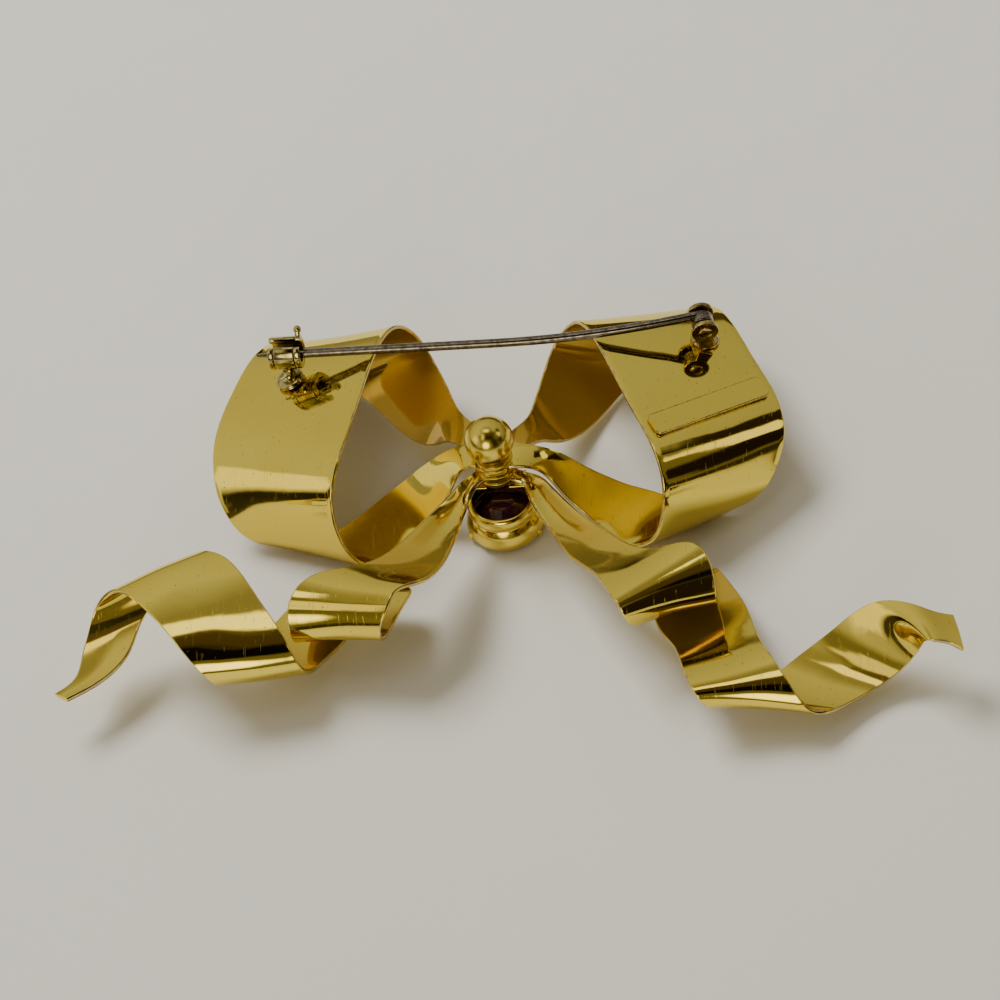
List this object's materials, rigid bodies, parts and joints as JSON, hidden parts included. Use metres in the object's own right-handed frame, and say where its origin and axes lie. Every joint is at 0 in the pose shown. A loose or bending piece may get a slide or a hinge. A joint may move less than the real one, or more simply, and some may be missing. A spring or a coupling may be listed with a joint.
{
  "type": "bow brooch",
  "caption": "Bow brooch of wide polished gilt ribbon lying face down, with two loops, two curled tails, a stone at the knot, a hinged pin and a turning safety catch.",
  "frame": {"origin": "on the surface it lies on, under the middle of the brooch's outer box", "axes": "+X to the loop that carries the pin's hinge, +Y to the loops' tops, +Z away from the stone to the pin"},
  "size_m": [0.0889, 0.0505, 0.0155],
  "materials": {
    "ribbon_gilt": "mirror polished gilt silver, finely pitted and scratched",
    "knot_gilt": "polished gilt",
    "setting_gilt": "polished gilt",
    "tag_gilt": "polished gilt",
    "purple_stone": "polished cut stone",
    "catch_metal": "pale polished brass",
    "hinge_metal": "polished gilt",
    "pin_steel": "polished steel wire"
  },
  "bodies": {
    "bow": {"left_loop": "ribbon_gilt", "right_loop": "ribbon_gilt", "left_tail": "ribbon_gilt", "right_tail": "ribbon_gilt", "knot_collar": "knot_gilt", "knot_post": "knot_gilt", "stone_setting": "setting_gilt", "stone": "purple_stone", "catch_base": "catch_metal", "hinge_base": "hinge_metal", "hinge_rivet": "hinge_metal", "tag_plate": "tag_gilt"},
    "pin": {"pin_stem": "pin_steel"},
    "sleeve": {"catch_sleeve": "catch_metal"}
  },
  "joints": [
    {"name": "pin_swing", "type": "hinge", "parent": "bow", "child": "pin", "pos_m": [0.0201, 0.01732, 0.0123], "axis": [-0.2109, 0.9775, 0], "range_deg": [0, 80]},
    {"name": "catch_turn", "type": "hinge", "parent": "bow", "child": "sleeve", "pos_m": [-0.0227, 0.01539, 0.0132], "axis": [0.9999, -0.0111, 0], "range_deg": [0, 100]}
  ]
}
